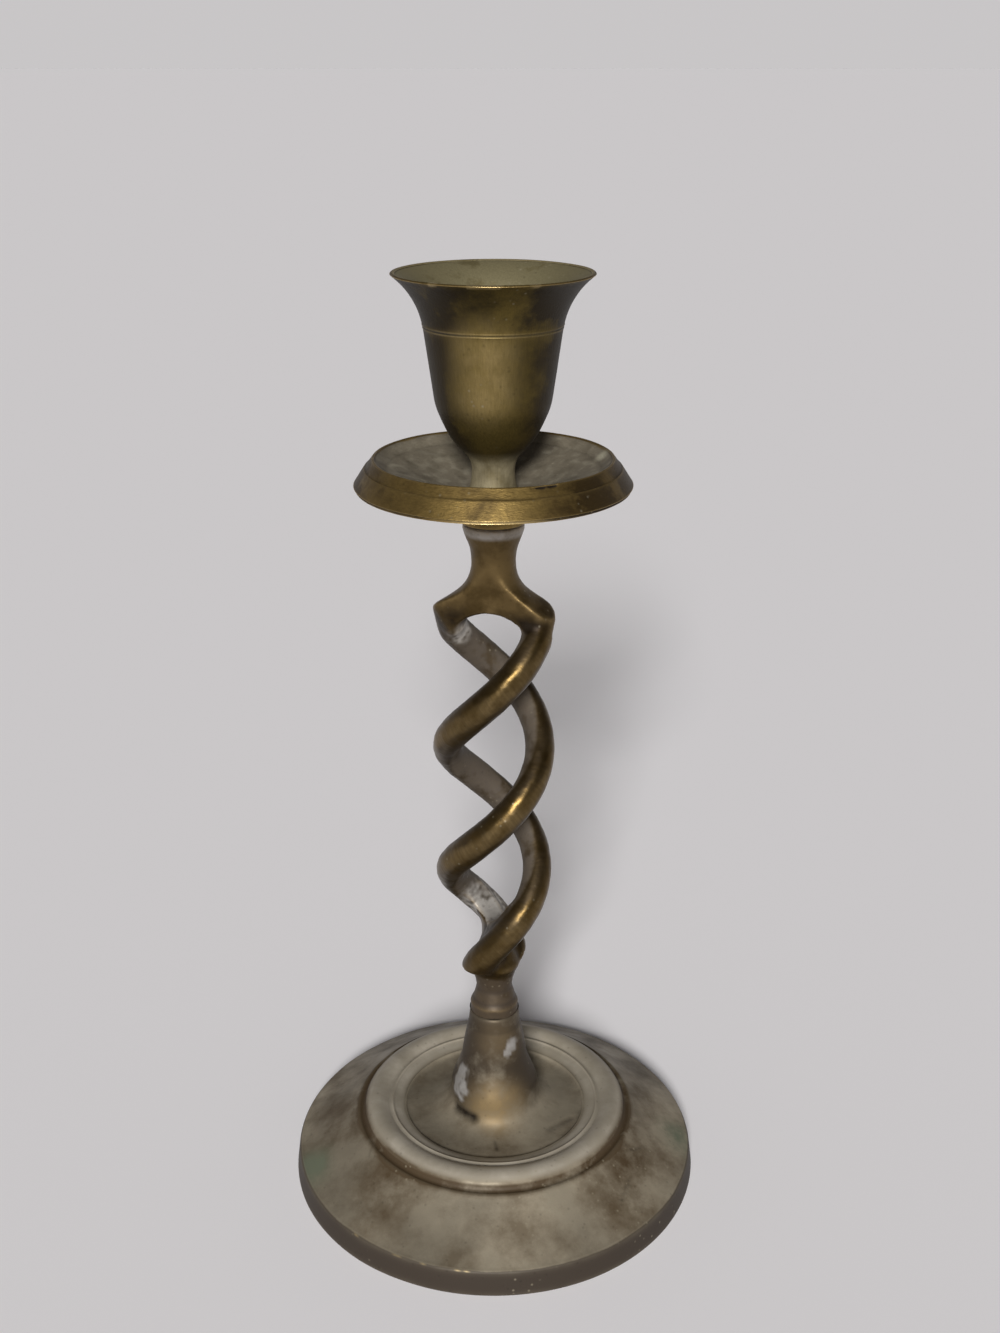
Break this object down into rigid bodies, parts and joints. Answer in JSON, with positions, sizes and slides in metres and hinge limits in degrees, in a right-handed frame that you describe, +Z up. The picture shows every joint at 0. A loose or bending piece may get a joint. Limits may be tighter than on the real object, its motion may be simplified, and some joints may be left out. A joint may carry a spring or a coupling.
{
  "type": "spiral candle holder",
  "caption": "Free-standing brass candlestick: round stepped base, open double-twist stem, drip pan and tulip cup with a flared lip; the cup screws down and clamps the pan.",
  "frame": {"origin": "centre of the base at the table", "axes": "+Z up along the stem, -Y towards the viewer of the picture, +X to the viewer's right"},
  "size_m": [0.1, 0.1, 0.22],
  "materials": {
    "cast_brass": "aged, unpolished",
    "turned_brass": "aged, brushed",
    "steel_fixing": "plain, dull"
  },
  "bodies": {
    "stand": {"base": "cast_brass", "twist_stem": "cast_brass", "base_stud": "steel_fixing", "base_washer": "steel_fixing", "base_nut": "steel_fixing"},
    "pan": {"drip_pan": "turned_brass"},
    "cup": {"candle_cup": "turned_brass", "cup_stud": "steel_fixing"}
  },
  "joints": [
    {"name": "pan_turn", "type": "hinge", "parent": "stand", "child": "pan", "pos_m": [0, 0, 0.1674], "axis": [0, 0, 1], "range_deg": [0, 2880]},
    {"name": "cup_rise", "type": "slide", "parent": "pan", "child": "cup", "axis": [0, 0, 1], "range_m": [0, 0.008]}
  ],
  "couplings": [
    {"joint": "cup_rise", "follows": "pan_turn", "m_per_rad": 0.00015915}
  ]
}
